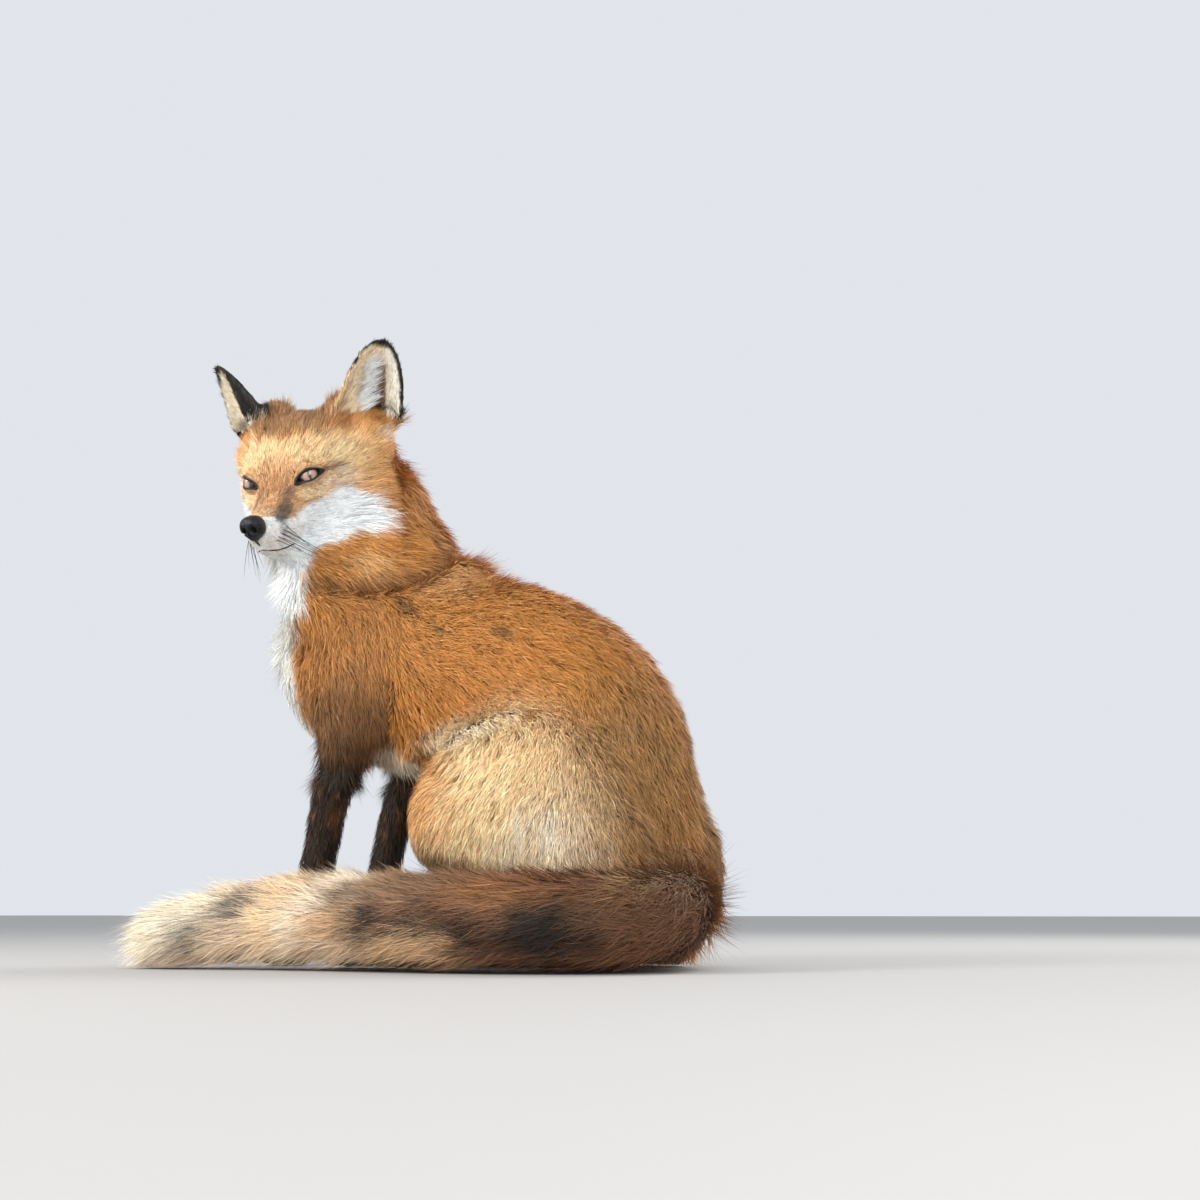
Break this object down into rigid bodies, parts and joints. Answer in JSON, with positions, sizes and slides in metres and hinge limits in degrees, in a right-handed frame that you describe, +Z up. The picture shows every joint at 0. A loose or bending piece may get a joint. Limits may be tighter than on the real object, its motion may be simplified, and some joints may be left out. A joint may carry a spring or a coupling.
{
  "type": "taxidermy red fox",
  "caption": "Life-size museum mount of a red fox, sitting with its head turned over its left side and its brush laid forward along the floor.",
  "frame": {"origin": "middle of the flat under the rump, where the fox sits on the floor", "axes": "+Z up, the fox's body faces -X, and its left side, to which its head is turned, is -Y"},
  "size_m": [0.4916, 0.3297, 0.5405],
  "materials": {
    "coat_ginger": "soft orange fur",
    "coat_straw": "soft straw fur",
    "coat_dark": "short brown-black fur",
    "coat_brush": "long tan and black fur",
    "coat_cream": "long cream fur",
    "eye_glass": "glossy painted glass eye",
    "nose_leather": "pebbled, slightly moist"
  },
  "bodies": {
    "root": {"head": "coat_ginger", "neck": "coat_ginger", "chest": "coat_ginger", "loin": "coat_ginger", "rump": "coat_ginger", "haunch_left": "coat_straw", "haunch_right": "coat_straw", "foreleg_left": "coat_dark", "foreleg_right": "coat_dark", "forepaw_left": "coat_dark", "forepaw_right": "coat_dark", "hind_foot_left": "coat_dark", "hind_foot_right": "coat_dark", "ear_left": "coat_straw", "ear_right": "coat_straw", "tail_base": "coat_brush", "tail_middle": "coat_brush", "tail_tip": "coat_cream", "eye_left": "eye_glass", "eye_right": "eye_glass", "nose": "nose_leather"}
  },
  "joints": []
}
